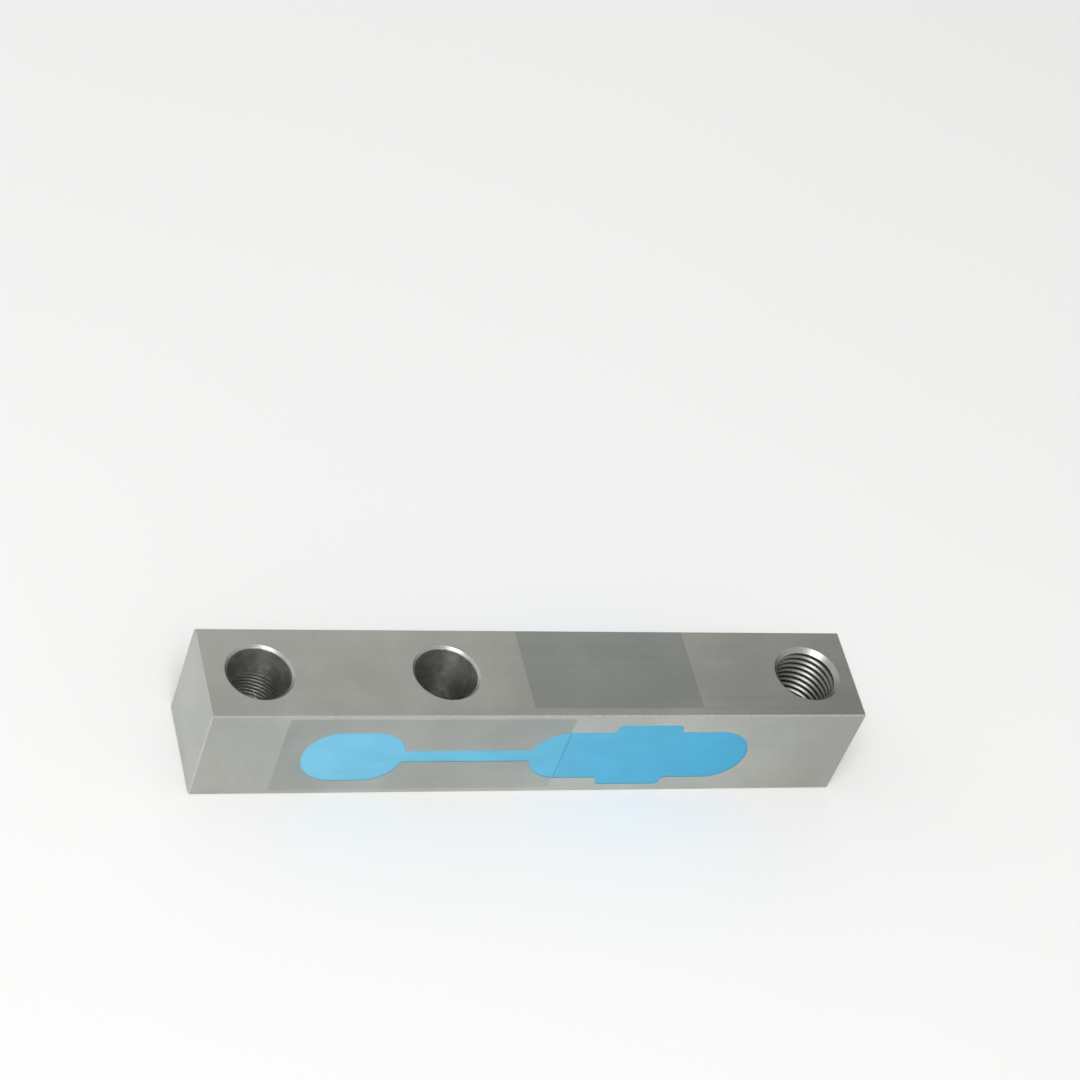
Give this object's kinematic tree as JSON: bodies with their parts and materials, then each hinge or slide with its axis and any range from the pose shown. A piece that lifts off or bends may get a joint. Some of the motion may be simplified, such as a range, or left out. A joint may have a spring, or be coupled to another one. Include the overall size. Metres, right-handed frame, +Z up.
{
  "type": "shear beam load cell",
  "caption": "Rectangular steel shear beam load cell with plain mounting holes, a tapped load hole and gauge pockets potted with blue sealant.",
  "frame": {"origin": "centre of the bottom face", "axes": "+X from the mounting end to the load end, -Y out of the wiring side, +Z up along the load hole"},
  "size_m": [0.14, 0.0226, 0.0248],
  "materials": {
    "steel": "bare ground steel, satin",
    "sealant": "matt blue potting compound",
    "gauge_film": "amber film with metal foil",
    "terminal_copper": "copper terminals on a film",
    "sleeve": "white insulating tube",
    "board": "green glass-fibre board",
    "resistor": "black chip",
    "red_wire": "red insulation",
    "black_wire": "black insulation",
    "green_wire": "green insulation",
    "white_wire": "white insulation",
    "ribbon": "grey ribbon insulation",
    "seal_rubber": "black rubber",
    "gland_brass": "nickel-plated brass"
  },
  "bodies": {
    "root": {"beam": "steel", "front_sealant": "sealant", "rear_sealant": "sealant", "front_shear_gauge": "gauge_film", "rear_shear_gauge": "gauge_film", "front_terminal_strip": "terminal_copper", "rear_terminal_strip": "terminal_copper", "passage_sleeve": "sleeve", "terminal_board": "board", "span_resistor_plus": "resistor", "span_resistor_minus": "resistor", "zero_balance_resistor": "resistor", "zero_drift_resistor": "resistor", "excitation_plus_wire": "red_wire", "excitation_minus_wire": "black_wire", "signal_plus_wire": "green_wire", "signal_minus_wire": "white_wire", "rear_jumper": "ribbon", "cable_seal": "seal_rubber", "seal_washer": "gland_brass", "gland_screw": "gland_brass"}
  },
  "joints": []
}
